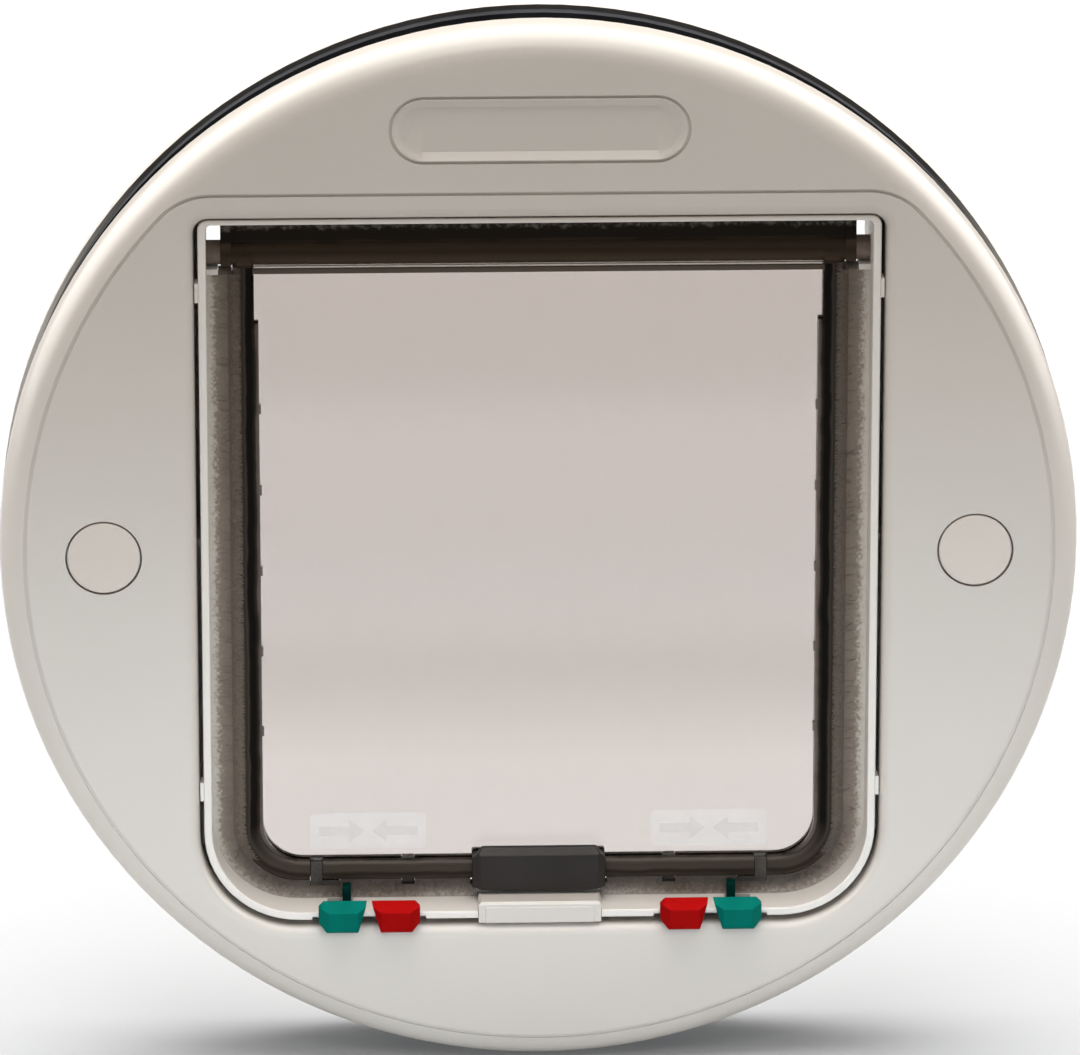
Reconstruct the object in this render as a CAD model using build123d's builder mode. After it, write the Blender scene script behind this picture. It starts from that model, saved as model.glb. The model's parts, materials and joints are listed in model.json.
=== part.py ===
from build123d import *
import math
import os

# Round cat flap that clamps in a round hole in a glass pane, seen from the room.
# +Z is up and the room side looks along -Y. The origin is the centre of the front
# gasket's clamp face, so the pane lies between y = 0 and y = pane_thick.
# All sizes are in millimetres.

# Tunnel through the pane, measured to its outer wall: the rest of the part follows it
tunnel_half = 87.8
tunnel_top = 89.8
tunnel_drop = 100.6
tunnel_wall = 2.1
tunnel_top_wall = 1.3
tunnel_top_corner = 2.7
tunnel_corner = 24.5
lip_setback = 1.5
lip_round = 0.5
rear_edge_round = 2.0

# Spigot round the tunnel's corners, which centres the part in the pane's hole
spigot_margin = 2.0
spigot_wall = 2.0
spigot_gap = 1.5
spigot_reach = 3.0

# The stack through the pane
flange_width = 10.0
front_depth = 12.5
rear_depth = 11.0
edge_round = 8.0
shell_wall = 2.5
gasket_thick = 4.0
gasket_inset = 1.1
pane_thick = 6.0

# Gasket seat rib and the radial ribs behind each rim
seat_inset = 0.6
seat_rib = 2.0
rim_ribs = 16
rib_thick = 1.6
rib_setback = 0.5

# Opening of the front frame round the tunnel
side_gap = 1.1
top_gap = 0.2
bottom_gap = 1.6
opening_round = 3.2
collar_depth = 7.0
collar_wall = 2.2

# Locating nubs on the tunnel's sides
nub_high = 0.9
nub_width = 5.0
nub_setback = 2.2
nub_long = 5.0
nub_below_top = 19.5
nub_above_foot = 35.6

# Decorative groove and badge recess of the face
groove_inset = 6.2
groove_rise = 7.4
groove_corner = 18.0
groove_width = 0.9
groove_depth = 0.6
badge_rise = 16.4
badge_width = 77.4
badge_tall = 17.9
badge_line = 0.8
badge_inset = 1.0
badge_depth = 1.1
badge_slope = 62.0

# Clamp screws and their caps
screw_inset = 15.5
cap_radius = 9.45
cap_gap = 0.5
cap_thick = 3.3
cap_edge = 0.3
cap_hollow_depth = 1.6
cap_ledge = 2.2
head_room = 3.7
boss_floor = 2.5
boss_wall = 2.0
screw_radius = 2.0
screw_head_radius = 4.5
screw_head_high = 2.8
screw_head_bevel = 0.9
screw_point = 1.0
screw_reach = 20.5
screw_gap = 0.4
thread_gap = 0.05
pilot_spare = 1.2
drive_width = 1.2
drive_depth = 1.6
rear_boss_radius = 6.0
rear_boss_gap = 0.3
boss_web = 1.8

# Snug fits: magnets in their pockets, catches in the rim, sill block in the lip
fit_gap = 0.1

# Flap
flap_setback = 15.0
flap_side_gap = 6.7
flap_sill_gap = 5.0
rim_width = 6.6
rim_foot = 5.6
rim_depth = 7.0
rim_flank_round = 2.4
rim_inner_corner = 10.6
rim_inner_bevel = 0.7
rim_step_drop = 18.8
rim_step = 1.1
rim_nub_drop = 41.8
rim_nub_pitch = 22.0
rim_nubs = 5
rim_nub_high = 2.4
rim_nub_proud = 0.5
rim_nub_setback = 1.0
panel_thick = 2.2
hinge_drop = 10.7
tube_radius = 3.4
fin_rise = 8.6
fin_thick = 3.2
rail_end_gap = 3.7
rail_end_plate = 2.7
rail_end_foot = 3.3
top_rib_drop = 4.1
top_rib_high = 1.3
top_rib_depth = 4.4
stub_radius = 3.2
stub_gap = 0.06
stub_end_gap = 0.5
shelf_gap = 0.4
shelf_thick = 1.4
shelf_length = 8.0
shelf_side_gap = 0.7

# Magnet block on the flap and its partner on the sill
holder_half = 17.5
holder_reach = 4.5
holder_back_reach = 2.5
holder_rise = 9.9
holder_drop = 1.3
holder_shoulder = 2.5
holder_shoulder_drop = 3.1
holder_brow = 2.2
holder_brow_drop = 1.7
holder_cheek = 2.1
holder_top_depth = 1.7
hook_rise = 2.0
hook_fall = 1.4
saddle_gap = 0.2
magnet_half = 12.0
magnet_thick = 2.8
magnet_high = 4.8
sill_cover_half = 16.1
sill_cover_rise = 2.5
sill_cover_setback = 0.9
sill_cover_depth = 9.0
sill_cover_leg = 3.4
sill_cover_drop = 1.0
sill_cover_chamfer = 0.7
sill_panel_half = 14.3
sill_panel_raise = 0.25
sill_magnet_depth = 4.2
sill_magnet_thick = 1.7

# Catches let into the flap's lower rim, the outer pair at the start of its corners
catch_inset = 4.8
catch_width = 3.2
catch_depth = 3.0
catch_drop = 1.5
catch_offset = 0.8

# Locks: coloured tab, tongue under the sill, and post beside the flap
green_tab_inset = 6.75
tab_pitch = 13.9
lock_travel = 3.5
tab_width = 12.7
tab_top = 3.4
tab_brow = 1.7
tab_foot = 1.9
tab_reach = 4.3
tab_gap = 0.4
tab_relief = 0.4
tab_slant = 2.4
tab_corner = 1.3
tab_lower_corner = 2.2
tab_nose = 0.9
tab_cheek = 2.6
tab_cheek_depth = 2.9
tongue_width = 8.0
tongue_thick = 1.6
tongue_gap = 0.4
slot_rise = 1.0
slot_end_gap = 0.5
slot_tail = 1.2
post_width = 2.2
post_depth = 3.1
post_gap = 0.4
post_top_gap = 0.6
green_post_inset = 1.15
lug_gap = 0.8
retainer_gap = 0.3
retainer_floor = 1.6
retainer_leg = 2.3
retainer_front_gap = 1.3

# Pile strip
brush_width = 3.8
brush_gap = 0.3
brush_seat_gap = 0.1
brush_top_gap = 0.5
brush_notch_gap = 0.6
brush_middle_gap = 0.6

# Radii that the tunnel's corners set
top_corner_reach = tunnel_top_corner + math.hypot(tunnel_half - tunnel_top_corner,
                                                  tunnel_top - tunnel_top_corner)
foot_corner_reach = tunnel_corner + math.hypot(tunnel_half - tunnel_corner, tunnel_drop - tunnel_corner)
spigot_radius = max(top_corner_reach, foot_corner_reach) + spigot_margin + spigot_wall
pane_hole_radius = spigot_radius + spigot_gap
frame_radius = pane_hole_radius + flange_width
seat_radius = pane_hole_radius + seat_inset
groove_radius = frame_radius - groove_inset
screw_x = spigot_radius - screw_inset

# Depths along Y, from the room side to the back
y_seat_front = -gasket_thick
y_face = y_seat_front - front_depth
y_seat_rear = pane_thick + gasket_thick
y_back = y_seat_rear + rear_depth
y_lip = y_face + lip_setback
y_flap = y_face + flap_setback
y_spigot = -spigot_reach

# Places that the tunnel's walls set
wall_x = tunnel_half - tunnel_wall
ceiling_z = tunnel_top - tunnel_top_wall
tunnel_bottom = -tunnel_drop
sill_z = tunnel_bottom + tunnel_wall
opening_bottom = tunnel_bottom - bottom_gap
groove_chord = tunnel_top + groove_rise
badge_height = groove_chord + badge_rise

# Places on the flap
flap_half = wall_x - flap_side_gap
flap_bottom = sill_z + flap_sill_gap
flap_corner = tunnel_corner - tunnel_wall - flap_side_gap
hinge_z = ceiling_z - hinge_drop
rail_half = wall_x - rail_end_gap
shelf_top = hinge_z - stub_radius - shelf_gap
rim_front = y_flap - rim_depth / 2
rim_back = y_flap + rim_depth / 2
rim_floor = flap_bottom + rim_foot
rim_inner = flap_half - rim_width
rim_step_height = hinge_z - rim_step_drop
panel_front = y_flap - panel_thick / 2
panel_back = y_flap + panel_thick / 2

# Places of the locks and catches
green_catch_x = flap_half - flap_corner - catch_inset
green_x = green_catch_x - green_tab_inset
green_post_x = green_x - green_post_inset
green_lug = (green_post_x + post_width / 2 + lug_gap, green_catch_x + catch_width / 2)
red_x = green_x - tab_pitch
red_catch_x = red_x - post_width / 2 - lug_gap - catch_width / 2
red_lug = (red_catch_x - catch_width / 2, red_catch_x + catch_width / 2)
slot_ceiling = tunnel_bottom + slot_rise
tongue_top = slot_ceiling - tongue_gap
tongue_bottom = tongue_top - tongue_thick
post_top = flap_bottom - post_top_gap
catch_bottom = flap_bottom - catch_drop
green_lug_front = y_flap - catch_offset - catch_depth / 2
red_lug_front = y_flap + catch_offset - catch_depth / 2
green_post_front = green_lug_front - post_gap - post_depth
red_post_front = red_lug_front + catch_depth + post_gap
slot_outer = green_x + tongue_width / 2 + lock_travel + slot_end_gap
slot_inner = red_x - tongue_width / 2 - lock_travel - slot_end_gap
slot_end = red_post_front + post_depth + 2 * slot_tail

# Screw seat depths
cap_hole_radius = cap_radius + cap_gap
y_cap_seat = y_face + cap_thick
y_head_seat = y_cap_seat + head_room
y_boss_end = y_head_seat + boss_floor
y_screw_tip = y_head_seat + screw_reach

sides = ((-1, "left"), (1, "right"))

os.makedirs("parts", exist_ok=True)


def save(builder, name):
    """Labels a finished piece and writes it as the node of that name."""
    builder.part.label = name
    export_step(builder.part, f"parts/{name}.step")


def facing(depth):
    """Sketch plane at a depth, as the viewer in the room sees it: extrude goes to the front."""
    return Plane.XZ.offset(-depth)


def block(x_span, y_span, z_span, mode=Mode.ADD):
    """Adds or cuts a block between three pairs of limits."""
    spans = [sorted(span) for span in (x_span, y_span, z_span)]
    centre = [(low + high) / 2 for low, high in spans]
    with Locations(tuple(centre)):
        Box(*[high - low for low, high in spans], mode=mode)


def port(half, top, bottom, top_corner, bottom_corner, mode=Mode.ADD):
    """Draws a rectangle with its own corner radii at the top and at the bottom."""
    corners = [(-half, top), (-half, bottom), (half, bottom), (half, top)]
    radii = [top_corner, bottom_corner, bottom_corner, top_corner]
    with BuildLine() as outline:
        FilletPolyline(*corners, radius=radii, close=True)
    make_face(outline.edges(), mode=mode)


def tunnel_port(inset, top_inset):
    """Draws the tunnel's outline, a distance inside its outer wall and another inside its top."""
    port(tunnel_half - inset, tunnel_top - top_inset, tunnel_bottom + inset,
         tunnel_top_corner - top_inset, tunnel_corner - inset)


def opening_port(grow):
    """Draws the front frame's opening, grown by a margin."""
    port(tunnel_half + side_gap + grow, tunnel_top + top_gap + grow, opening_bottom - grow,
         tunnel_top_corner + side_gap + grow, tunnel_corner + side_gap + grow)


def flap_port(grow, top, mode=Mode.ADD):
    """Draws the flap's outer outline up to a height, grown by a margin."""
    port(flap_half + grow, top, flap_bottom - grow, 0, flap_corner + grow, mode)


def dish_section(closed, open_end):
    """Draws half the section of a frame: plate, rounded rim and gasket seat rib."""
    inward = 1 if open_end > closed else -1
    plate = closed + inward * shell_wall
    rim = frame_radius - shell_wall
    corners = [(0, closed), (frame_radius, closed), (frame_radius, open_end),
               (rim, open_end), (rim, plate), (0, plate)]
    with BuildLine() as shell:
        FilletPolyline(*corners, radius=[0, edge_round, 0, 0, edge_round - shell_wall, 0], close=True)
    make_face(shell.edges())
    root = closed + inward * shell_wall / 2
    with BuildLine() as rib:
        Polyline((seat_radius, root), (seat_radius, open_end), (seat_radius + seat_rib, open_end),
                 (seat_radius + seat_rib, root), close=True)
    make_face(rib.edges())


def rim_rib_ring(closed, open_end):
    """Adds the radial ribs between the gasket seat rib and the rim, rooted in mid wall."""
    inward = 1 if open_end > closed else -1
    inner = seat_radius + seat_rib / 2
    root = shell_wall / 2
    slope = (edge_round - root) * math.sqrt(0.5)
    tip = open_end - inward * rib_setback
    with BuildSketch(Plane.XY) as web:
        with BuildLine():
            Polyline((inner, closed + inward * root), (frame_radius - edge_round, closed + inward * root),
                     (frame_radius - edge_round + slope, closed + inward * (edge_round - slope)),
                     (frame_radius - root, closed + inward * edge_round), (frame_radius - root, tip),
                     (inner, tip), close=True)
        make_face()
    rib = extrude(web.sketch, amount=rib_thick / 2, both=True, mode=Mode.PRIVATE)
    add([rib.rotate(Axis.Y, 360 * turn / rim_ribs) for turn in range(rim_ribs)])


def carve(front_view, side_view, top_view):
    """Adds the solid that has three outlines: from the front, from the side and from above."""
    views = []
    for plane, points in ((Plane.XZ, front_view), (Plane.YZ, side_view), (Plane.XY, top_view)):
        with BuildSketch(plane) as view:
            with BuildLine():
                Polyline(*points, close=True)
            make_face()
        views.append(extrude(view.sketch, amount=frame_radius, both=True, mode=Mode.PRIVATE))
    add(views[0] & views[1] & views[2])


def screw_spots():
    """The two screw centres, as seen from the room."""
    return Locations((-screw_x, 0), (screw_x, 0))


# Front frame: dished moulding with a collared opening, grooves, badge recess and screw bosses
with BuildPart() as front_frame:
    with BuildSketch(Plane.XY):
        dish_section(y_face, y_seat_front)
    revolve(axis=Axis.Y)
    rim_rib_ring(y_face, y_seat_front)
    with BuildSketch(facing(y_face + collar_depth)):
        opening_port(collar_wall)
    extrude(amount=collar_depth - shell_wall / 2)
    with BuildSketch(facing(y_face)):
        opening_port(0)
    extrude(amount=-collar_depth, mode=Mode.SUBTRACT)
    mouth = front_frame.edges().filter_by_position(Axis.Y, y_face, y_face)
    fillet(mouth.filter_by(lambda edge: edge.bounding_box().max.X < screw_x), opening_round)
    with BuildSketch(facing(y_boss_end)):
        with screw_spots():
            Circle(cap_hole_radius + boss_wall)
    extrude(amount=y_boss_end - y_face - shell_wall / 2)
    for hole_radius, floor in ((cap_hole_radius, y_cap_seat),
                               (cap_hole_radius - cap_ledge, y_head_seat),
                               (screw_radius + screw_gap, y_boss_end)):
        with BuildSketch(facing(y_face)):
            with screw_spots():
                Circle(hole_radius)
        extrude(amount=y_face - floor, mode=Mode.SUBTRACT)
    with BuildSketch(facing(y_face)):
        Circle(groove_radius)
        with Locations((0, groove_chord)):
            Rectangle(2 * groove_radius, groove_radius, align=(Align.CENTER, Align.MIN), mode=Mode.SUBTRACT)
        fillet(vertices().sort_by(Axis.Y)[-2:], groove_corner)
        offset(amount=-groove_width, mode=Mode.SUBTRACT)
    extrude(amount=-groove_depth, mode=Mode.SUBTRACT)
    with BuildSketch(facing(y_face)):
        with Locations((0, badge_height)):
            SlotOverall(badge_width, badge_tall)
        offset(amount=-badge_line, mode=Mode.SUBTRACT)
    extrude(amount=-groove_depth, mode=Mode.SUBTRACT)
    with BuildSketch(facing(y_face)):
        with Locations((0, badge_height)):
            SlotOverall(badge_width - 2 * badge_inset, badge_tall - 2 * badge_inset)
    extrude(amount=-badge_depth, taper=badge_slope, mode=Mode.SUBTRACT)
save(front_frame, "front_frame")


# Rear frame: the outer dish, the spigot in the pane's hole and the tunnel, in one moulding
y_root = y_back - shell_wall / 2
spigot_bore = spigot_radius - spigot_wall
rear_boss_front = y_boss_end + rear_boss_gap
with BuildPart() as rear_frame:
    with BuildSketch(Plane.XY):
        dish_section(y_back, y_seat_rear)
        with BuildLine():
            Polyline((spigot_bore, y_root), (spigot_radius, y_root), (spigot_radius, y_spigot),
                     (spigot_bore, y_spigot), close=True)
        make_face()
    revolve(axis=Axis.Y)
    rim_rib_ring(y_back, y_seat_rear)
    with BuildSketch(facing(y_root)):
        tunnel_port(0, 0)
    extrude(amount=y_root - y_lip)
    with BuildSketch(facing(y_back)):
        tunnel_port(tunnel_wall, tunnel_top_wall)
    extrude(amount=y_back - y_lip, mode=Mode.SUBTRACT)
    rear_mouth = rear_frame.edges().filter_by_position(Axis.Y, y_back, y_back)
    fillet(rear_mouth.filter_by(lambda edge: edge.bounding_box().max.X < screw_x), rear_edge_round)
    fillet(rear_frame.edges().filter_by_position(Axis.Y, y_lip, y_lip), lip_round)
    with BuildSketch(facing(y_root)):
        with screw_spots():
            Circle(rear_boss_radius)
    extrude(amount=y_root - rear_boss_front)
    for side, side_name in sides:
        block((side * (tunnel_half - tunnel_wall / 2), side * screw_x),
              (y_spigot, y_root), (-boss_web / 2, boss_web / 2))
        for height in (tunnel_top - nub_below_top, tunnel_bottom + nub_above_foot):
            block((side * (tunnel_half - tunnel_wall / 2), side * (tunnel_half + nub_high)),
                  (y_face + nub_setback, y_face + nub_setback + nub_long),
                  (height - nub_width / 2, height + nub_width / 2))
        block((side * (rail_half + shelf_side_gap), side * (tunnel_half - tunnel_wall / 2)),
              (y_flap - shelf_length / 2, y_flap + shelf_length / 2),
              (shelf_top - shelf_thick, shelf_top))
    with BuildSketch(facing(rear_boss_front)):
        with screw_spots():
            Circle(screw_radius + thread_gap)
    extrude(amount=rear_boss_front - y_screw_tip - pilot_spare, mode=Mode.SUBTRACT)
    for side, side_name in sides:
        with BuildSketch(Plane.YZ.offset(side * wall_x)):
            with Locations((y_flap, hinge_z)):
                Circle(stub_radius + stub_gap)
        extrude(amount=side * tunnel_wall, mode=Mode.SUBTRACT)
        block((side * slot_inner, side * slot_outer), (y_lip, slot_end),
              (tunnel_bottom, slot_ceiling), mode=Mode.SUBTRACT)
        for post_x, outward, post_front in ((green_post_x, 1, green_post_front), (red_x, -1, red_post_front)):
            home_edge = post_x - outward * (post_width / 2 + slot_end_gap)
            far_edge = post_x + outward * (post_width / 2 + slot_end_gap + lock_travel)
            block((side * home_edge, side * far_edge),
                  (post_front - slot_end_gap, post_front + post_depth + post_gap),
                  (slot_ceiling, sill_z), mode=Mode.SUBTRACT)
    block((-sill_cover_half - fit_gap, sill_cover_half + fit_gap),
          (y_lip, y_face + sill_cover_setback + sill_cover_leg + fit_gap),
          (tunnel_bottom, sill_z), mode=Mode.SUBTRACT)
save(rear_frame, "rear_frame")


# Gaskets: flat foam rings either side of the pane
for name, clamp_face, seat_face in (("front_gasket", 0, y_seat_front),
                                    ("rear_gasket", pane_thick, y_seat_rear)):
    with BuildPart() as gasket:
        with BuildSketch(facing(max(clamp_face, seat_face))):
            Circle(frame_radius - gasket_inset)
            Circle(seat_radius, mode=Mode.SUBTRACT)
        extrude(amount=gasket_thick)
    save(gasket, name)


# Clamp screws with a cross drive, and the caps that hide them
for side, side_name in sides:
    x = side * screw_x
    with BuildPart() as screw:
        with BuildSketch(facing(y_head_seat)):
            with Locations((x, 0)):
                Circle(screw_head_radius)
        extrude(amount=screw_head_high)
        chamfer(screw.edges().group_by(Axis.Y)[0], screw_head_bevel)
        with BuildSketch(facing(y_screw_tip)):
            with Locations((x, 0)):
                Circle(screw_radius)
        extrude(amount=screw_reach)
        chamfer(screw.edges().group_by(Axis.Y)[-1], screw_point)
        with BuildSketch(facing(y_head_seat - screw_head_high)):
            with Locations((x, 0)):
                Rectangle(screw_head_radius, drive_width)
                Rectangle(drive_width, screw_head_radius)
        extrude(amount=-drive_depth, mode=Mode.SUBTRACT)
    save(screw, f"clamp_screw_{side_name}")
    with BuildPart() as cap:
        with BuildSketch(facing(y_cap_seat)):
            with Locations((x, 0)):
                Circle(cap_radius)
        extrude(amount=cap_thick)
        with BuildSketch(facing(y_cap_seat)):
            with Locations((x, 0)):
                Circle(cap_hole_radius - cap_ledge)
        extrude(amount=cap_hollow_depth, mode=Mode.SUBTRACT)
        chamfer(cap.edges().group_by(Axis.Y)[0], cap_edge)
    save(cap, f"screw_cap_{side_name}")


# Flap: clear panel, thick rounded rim, hinge tube with its fin, end plates and pivot stubs
with BuildPart() as flap:
    with BuildSketch(facing(rim_back)):
        flap_port(0, hinge_z)
    extrude(amount=rim_depth)
    for rim_face in (rim_front, rim_back):
        flank = flap.edges().filter_by_position(Axis.Y, rim_face, rim_face)
        fillet(flank.filter_by(lambda edge: edge.center().Z < hinge_z - tube_radius), rim_flank_round)
    for panel_face, rim_face in ((panel_front, rim_front), (panel_back, rim_back)):
        with BuildSketch(facing(panel_face)):
            port(rim_inner, rim_step_height, rim_floor, 0, rim_inner_corner)
            port(rim_inner + rim_step, hinge_z, rim_step_height, 0, 0)
        extrude(amount=panel_face - rim_face, mode=Mode.SUBTRACT)
        brim = flap.edges().filter_by_position(Axis.Y, rim_face, rim_face)
        brim = brim.filter_by(lambda edge: edge.bounding_box().min.Z > rim_floor - rim_inner_bevel)
        chamfer(brim.filter_by(lambda edge: abs(edge.center().X) < rim_inner + 2 * rim_step), rim_inner_bevel)
    for side, side_name in sides:
        for turn in range(rim_nubs):
            height = hinge_z - rim_nub_drop - turn * rim_nub_pitch
            block((side * (rim_inner - rim_nub_proud), side * (rim_inner + rim_nub_proud)),
                  (rim_front + rim_nub_setback, panel_front),
                  (height - rim_nub_high / 2, height + rim_nub_high / 2))
    with BuildSketch(Plane.YZ.offset(-rail_half)):
        with Locations((y_flap, hinge_z)):
            Circle(tube_radius)
    extrude(amount=2 * rail_half)
    block((-rail_half, rail_half), (y_flap - fin_thick / 2, y_flap + fin_thick / 2),
          (hinge_z, hinge_z + fin_rise))
    for side, side_name in sides:
        block((side * (rail_half - rail_end_plate), side * rail_half),
              (y_flap - tube_radius, y_flap + tube_radius), (hinge_z - rail_end_foot, hinge_z + fin_rise))
        with BuildSketch(Plane.YZ.offset(side * rail_half)):
            with Locations((y_flap, hinge_z)):
                Circle(stub_radius)
        extrude(amount=side * (tunnel_half - stub_end_gap - rail_half))
    block((-flap_half + rim_width / 2, flap_half - rim_width / 2),
          (y_flap - top_rib_depth / 2, y_flap + top_rib_depth / 2),
          (hinge_z - top_rib_drop - top_rib_high, hinge_z - top_rib_drop))
    notch_half = catch_width / 2 + fit_gap
    for side, side_name in sides:
        for catch_x, front, back in ((green_catch_x, rim_front, green_lug_front + catch_depth + fit_gap),
                                     (red_catch_x, red_lug_front - fit_gap, rim_back)):
            block((side * (catch_x - notch_half), side * (catch_x + notch_half)),
                  (front, back), (flap_bottom, rim_floor), mode=Mode.SUBTRACT)
save(flap, "flap")


# Catches: strips let into the rim, each with a lug below it in reach of the slid post
for side, side_name in sides:
    for colour, catch_x, lug, lug_front, strip_front, strip_back in (
            ("green", green_catch_x, green_lug, green_lug_front, rim_front, green_lug_front + catch_depth),
            ("red", red_catch_x, red_lug, red_lug_front, red_lug_front, rim_back)):
        with BuildPart() as catch:
            block((side * (catch_x - catch_width / 2), side * (catch_x + catch_width / 2)),
                  (strip_front, strip_back), (flap_bottom, rim_floor - fit_gap))
            block((side * lug[0], side * lug[1]), (lug_front, lug_front + catch_depth),
                  (catch_bottom, flap_bottom))
        save(catch, f"{colour}_catch_{side_name}")


# Magnet block that hooks over the flap's lower rim, and the bar magnet in its front pocket
holder_bottom = flap_bottom - holder_drop
holder_top = flap_bottom + holder_rise
holder_front = rim_front - holder_reach
holder_back = rim_back + holder_back_reach
brow_back = holder_front + holder_brow
shoulder_x = holder_half - holder_shoulder
shoulder_z = holder_top - holder_shoulder_drop
hook_top = rim_floor + hook_rise
saddle_foot = flap_bottom - saddle_gap
saddle_top = rim_floor + saddle_gap
magnet_back = rim_front - fit_gap
magnet_foot = flap_bottom + fit_gap
with BuildPart() as holder:
    front_view = [(-holder_half, holder_bottom), (holder_half, holder_bottom), (holder_half, shoulder_z),
                  (shoulder_x, holder_top), (-shoulder_x, holder_top), (-holder_half, shoulder_z)]
    side_view = [(holder_front, holder_bottom), (holder_front, holder_top - holder_brow_drop),
                 (brow_back, holder_top), (brow_back + holder_top_depth, holder_top),
                 (brow_back + holder_top_depth, hook_top),
                 (panel_front - saddle_gap, hook_top), (panel_front - saddle_gap, saddle_top),
                 (rim_front - saddle_gap, saddle_top), (rim_front - saddle_gap, saddle_foot),
                 (rim_back + saddle_gap, saddle_foot), (rim_back + saddle_gap, saddle_top),
                 (panel_back + saddle_gap, saddle_top), (panel_back + saddle_gap, hook_top),
                 (holder_back, hook_top - hook_fall), (holder_back, holder_bottom)]
    top_view = [(-holder_half, holder_back), (-holder_half, brow_back),
                (holder_cheek - holder_half, holder_front), (holder_half - holder_cheek, holder_front),
                (holder_half, brow_back), (holder_half, holder_back)]
    carve(front_view, side_view, top_view)
    block((-magnet_half - fit_gap, magnet_half + fit_gap),
          (magnet_back - magnet_thick - fit_gap, rim_front),
          (magnet_foot - fit_gap, magnet_foot + magnet_high + fit_gap), mode=Mode.SUBTRACT)
save(holder, "flap_magnet_holder")

with BuildPart() as flap_magnet:
    block((-magnet_half, magnet_half), (magnet_back - magnet_thick, magnet_back),
          (magnet_foot, magnet_foot + magnet_high))
save(flap_magnet, "flap_magnet")


# Sill block with a leg that fills the notch in the tunnel's lip, and the magnet under it
cover_front = y_face + sill_cover_setback
cover_back = cover_front + sill_cover_depth
cover_top = sill_z + sill_cover_rise
cover_foot = tunnel_bottom - sill_cover_drop
sill_magnet_back = cover_back - sill_cover_chamfer
with BuildPart() as sill_cover:
    with BuildSketch(Plane.YZ.offset(-sill_cover_half)):
        with BuildLine():
            Polyline((cover_front, cover_foot), (cover_front + sill_cover_leg, cover_foot),
                     (cover_front + sill_cover_leg, sill_z), (cover_back, sill_z), (cover_back, cover_top),
                     (cover_front, cover_top), close=True)
        make_face()
    extrude(amount=2 * sill_cover_half)
    chamfer(sill_cover.faces().sort_by(Axis.Z)[-1].edges(), sill_cover_chamfer)
    block((-sill_panel_half, sill_panel_half), (cover_front - sill_panel_raise, cover_front),
          (cover_foot, cover_top - 2 * sill_cover_chamfer))
    block((-magnet_half - fit_gap, magnet_half + fit_gap),
          (sill_magnet_back - sill_magnet_depth - fit_gap, sill_magnet_back + fit_gap),
          (sill_z, sill_z + sill_magnet_thick + fit_gap), mode=Mode.SUBTRACT)
save(sill_cover, "sill_magnet_cover")

with BuildPart() as sill_magnet:
    block((-magnet_half, magnet_half), (sill_magnet_back - sill_magnet_depth, sill_magnet_back),
          (sill_z, sill_z + sill_magnet_thick))
save(sill_magnet, "sill_magnet")


# Locks: a bevelled finger tab, a tongue that runs under the sill, and a post by the flap
tab_top_z = sill_z + tab_top
tab_foot_z = tunnel_bottom - tab_foot
tab_back = y_lip - tab_gap
tab_front = y_face - tab_reach
relief_back = y_face - tab_relief


def lock(name, side, centre, partner, post_x, post_front):
    """Makes one lock. partner is the way along X to the other lock of its pair."""
    half = tab_width / 2
    middle = side * centre
    outline = [(-half, tab_top_z - tab_corner), (-half + tab_corner, tab_top_z), (half, tab_top_z),
               (half - tab_slant, tab_foot_z), (-half + tab_lower_corner, tab_foot_z),
               (-half, tab_foot_z + tab_lower_corner)]
    side_view = [(tab_back, tab_top_z), (tab_back, tongue_bottom), (relief_back, tongue_bottom),
                 (relief_back, tab_foot_z), (tab_front + tab_nose, tab_foot_z),
                 (tab_front, tab_foot_z + tab_nose), (tab_front, tab_top_z - tab_brow)]
    top_view = [(middle - half, tab_back), (middle - half, tab_front + tab_cheek_depth),
                (middle - half + tab_cheek, tab_front), (middle + half - tab_cheek, tab_front),
                (middle + half, tab_front + tab_cheek_depth), (middle + half, tab_back)]
    with BuildPart() as piece:
        carve([(middle + partner * u, z) for u, z in outline], side_view, top_view)
        x_span = (middle - tongue_width / 2, middle + tongue_width / 2)
        block(x_span, (relief_back, post_front + post_depth + slot_tail), (tongue_bottom, tongue_top))
        post_span = (side * post_x - post_width / 2, side * post_x + post_width / 2)
        block(post_span, (post_front, post_front + post_depth), (tongue_bottom, post_top))
    save(piece, name)


for side, side_name in sides:
    lock(f"green_lock_{side_name}", side, green_x, -side, green_post_x, green_post_front)
    lock(f"red_lock_{side_name}", side, red_x, side, red_x, red_post_front)


# Retainers: shallow channels under the sill that the tongues slide on
retainer_front = y_face + collar_depth + retainer_front_gap
channel_floor = tongue_bottom - retainer_gap
for side, side_name in sides:
    with BuildPart() as retainer:
        block((side * (slot_inner - retainer_leg), side * (slot_outer + retainer_leg)),
              (retainer_front, slot_end), (channel_floor - retainer_floor, tunnel_bottom))
        block((side * slot_inner, side * slot_outer), (retainer_front, slot_end),
              (channel_floor, tunnel_bottom), mode=Mode.SUBTRACT)
    save(retainer, f"lock_retainer_{side_name}")


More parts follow.
